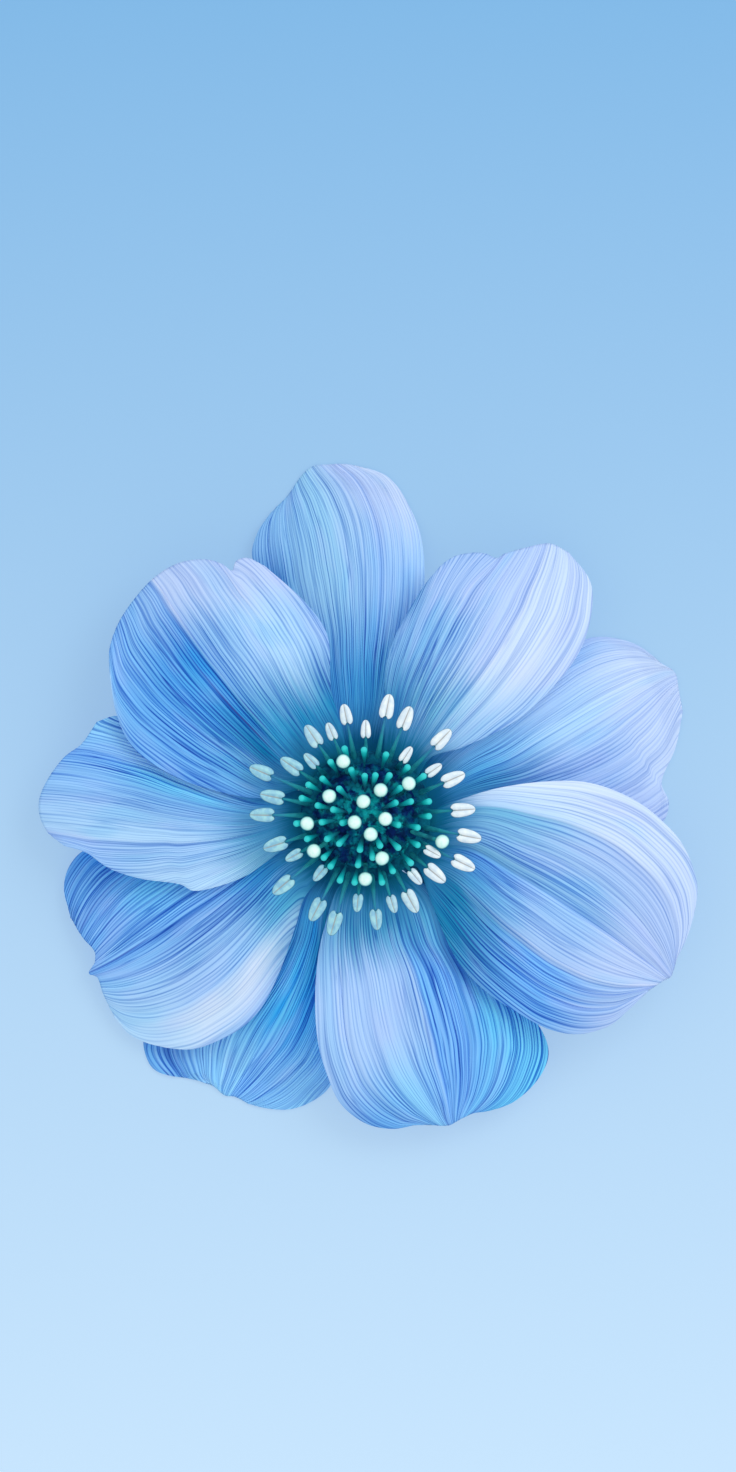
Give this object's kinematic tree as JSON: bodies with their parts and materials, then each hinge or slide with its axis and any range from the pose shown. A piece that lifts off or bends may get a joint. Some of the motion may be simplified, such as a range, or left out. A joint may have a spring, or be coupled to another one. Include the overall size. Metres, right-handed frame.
{
  "type": "blue single flower head",
  "caption": "Open single flower head lying face up: broad overlapping ribbed blue petals round a domed teal centre of pins and ball-tipped styles, ringed by pale anthers.",
  "frame": {"origin": "on the table under the middle of the flower's outline, seen from above; the lowest petal tips touch z = 0", "axes": "+Z out of the bloom's face and up, +Y towards the top of the flower in its front view, +X to the right of that view"},
  "size_m": [0.0991, 0.1001, 0.0224],
  "materials": {
    "petal_top": "satin, blue with fine darker ribs",
    "petal_upper_left": "satin, blue with fine darker ribs",
    "petal_left": "satin, blue with fine darker ribs",
    "petal_lower_left": "satin, blue with fine darker ribs",
    "petal_bottom_left": "satin, blue with fine darker ribs",
    "petal_bottom": "satin, blue with fine darker ribs",
    "petal_lower_right": "satin, blue with fine darker ribs",
    "petal_right": "satin, blue with fine darker ribs",
    "petal_upper_right": "satin, pale blue with fine darker ribs",
    "calyx": "matt, muted green-blue",
    "domed_centre": "satin, dark teal with pale balls",
    "stamens": "matt, pale aqua anthers on teal filaments"
  },
  "bodies": {
    "root": {"top_petal": "petal_top", "upper_left_petal": "petal_upper_left", "left_petal": "petal_left", "lower_left_petal": "petal_lower_left", "bottom_left_petal": "petal_bottom_left", "bottom_petal": "petal_bottom", "lower_right_petal": "petal_lower_right", "right_petal": "petal_right", "upper_right_petal": "petal_upper_right", "calyx": "calyx", "domed_centre": "domed_centre", "stamens": "stamens"}
  },
  "joints": []
}
